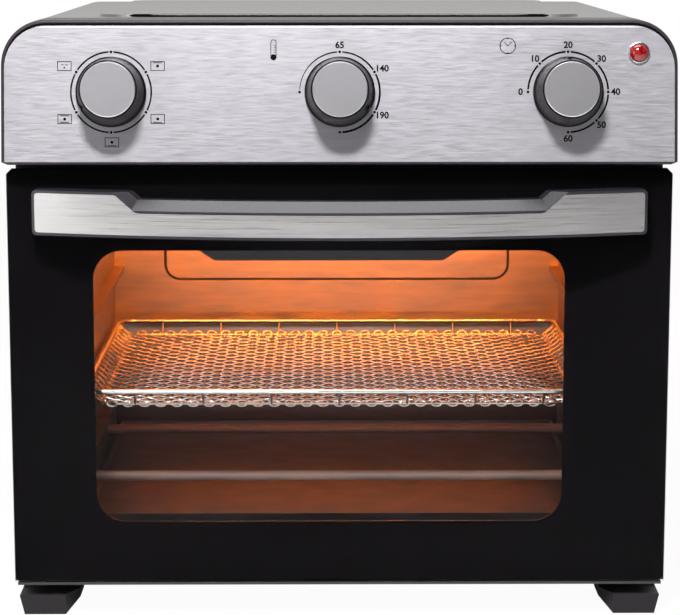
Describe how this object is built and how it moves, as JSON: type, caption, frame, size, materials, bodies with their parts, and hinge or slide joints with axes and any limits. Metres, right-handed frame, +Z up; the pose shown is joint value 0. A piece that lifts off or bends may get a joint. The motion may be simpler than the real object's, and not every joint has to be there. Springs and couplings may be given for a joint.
{
  "type": "mini oven",
  "caption": "Countertop mini oven with a drop-down glass door, bowed handle, sloping panel with rotary knobs, roof fan and a wire air-fry basket.",
  "frame": {"origin": "centre of the bounding box on the surface that the feet stand on", "axes": "+Z up, -Y out of the door, +X to the right seen from the front"},
  "size_m": [0.39, 0.386, 0.354],
  "materials": {
    "cover_paint": "satin warm grey paint",
    "galvanised_sheet": "plain galvanised sheet",
    "dark_sheet": "black enamelled sheet",
    "black_plastic": "fine moulded grain",
    "bezel_plastic": "satin moulded plastic",
    "brushed_fascia": "horizontally brushed stainless steel",
    "lamp_red": "glossy translucent red",
    "bright_trim": "satin",
    "screw_steel": "plated",
    "control_plastic": "heat resistant moulding",
    "cavity_sheet": "aluminised steel sheet",
    "heater_sheath": "oxidised steel sheath",
    "ceramic": "glazed ceramic",
    "motor_iron": "laminated iron with lacquer",
    "fan_alloy": "stamped",
    "foot_plastic": "fine moulded grain",
    "clear_glass": "clear toughened glass",
    "black_enamel": "black enamel printed on glass",
    "basket_wire": "bright plated wire",
    "tray_sheet": "satin sheet"
  },
  "bodies": {
    "oven": {"cabinet_wrap": "cover_paint", "rear_panel": "galvanised_sheet", "rear_spacers": "black_plastic", "cord_bushing": "black_plastic", "base_plate": "galvanised_sheet", "front_frame": "dark_sheet", "control_bezel": "bezel_plastic", "fascia_plate": "brushed_fascia", "power_lamp": "lamp_red", "lamp_ring": "bright_trim", "heat_shield": "galvanised_sheet", "cabinet_screws": "screw_steel", "rear_screws": "screw_steel", "function_switch": "control_plastic", "thermostat": "control_plastic", "timer_unit": "control_plastic", "timer_bell": "screw_steel", "cavity_left": "cavity_sheet", "cavity_right": "cavity_sheet", "hinge_bracket_left": "galvanised_sheet", "hinge_bracket_right": "galvanised_sheet", "foot_front_left": "foot_plastic", "foot_front_right": "foot_plastic", "foot_rear_left": "foot_plastic", "foot_rear_right": "foot_plastic", "cavity_back": "cavity_sheet", "cavity_top": "cavity_sheet", "cavity_floor": "cavity_sheet", "upper_heaters": "heater_sheath", "lower_heaters": "heater_sheath", "heater_insulators": "ceramic", "fan_guard": "cavity_sheet", "motor_bracket": "galvanised_sheet", "fan_motor": "motor_iron", "foot_screws": "screw_steel"},
    "door": {"door_glass": "clear_glass", "glass_border": "black_enamel", "door_frame": "dark_sheet", "door_trim": "bright_trim", "hinge_pins": "screw_steel", "handle_body": "black_plastic", "handle_plate": "brushed_fascia", "handle_screws": "screw_steel"},
    "function_dial": {"function_knob": "black_plastic", "function_cap": "brushed_fascia", "function_shaft": "screw_steel"},
    "temperature_dial": {"temperature_knob": "black_plastic", "temperature_cap": "brushed_fascia", "temperature_shaft": "screw_steel"},
    "timer_dial": {"timer_knob": "black_plastic", "timer_cap": "brushed_fascia", "timer_shaft": "screw_steel"},
    "fan": {"fan_impeller": "fan_alloy", "fan_shaft": "screw_steel"},
    "basket": {"fry_basket": "basket_wire", "basket_rim": "basket_wire"},
    "tray": {"crumb_tray": "tray_sheet"}
  },
  "joints": [
    {"name": "door_hinge", "type": "hinge", "parent": "oven", "child": "door", "pos_m": [0, -0.144, 0.029], "axis": [1, 0, 0], "range_deg": [0, 80], "stiffness_Nm_per_rad": 1.2, "springref_deg": -17.19},
    {"name": "function_turn", "type": "hinge", "parent": "oven", "child": "function_dial", "pos_m": [-0.1315, -0.1564, 0.31131], "axis": [0, -0.9903, 0.1392], "continuous": true},
    {"name": "temperature_turn", "type": "hinge", "parent": "oven", "child": "temperature_dial", "pos_m": [0, -0.1564, 0.31131], "axis": [0, -0.9903, 0.1392], "range_deg": [-60, 210]},
    {"name": "timer_turn", "type": "hinge", "parent": "oven", "child": "timer_dial", "pos_m": [0.1315, -0.1564, 0.31131], "axis": [0, -0.9903, 0.1392], "range_deg": [-180, 90]},
    {"name": "fan_spin", "type": "hinge", "parent": "oven", "child": "fan", "pos_m": [0, 0.0047, 0.25], "axis": [0, 0, 1], "continuous": true},
    {"name": "basket_slide", "type": "slide", "parent": "oven", "child": "basket", "axis": [0, -1, 0], "range_m": [0, 0.1]},
    {"name": "tray_slide", "type": "slide", "parent": "oven", "child": "tray", "axis": [0, -1, 0], "range_m": [0, 0.026]}
  ],
  "couplings": [
    {"joint": "basket_slide", "follows": "door_hinge", "m_per_rad": 0.07},
    {"joint": "tray_slide", "follows": "door_hinge", "m_per_rad": 0.018}
  ]
}
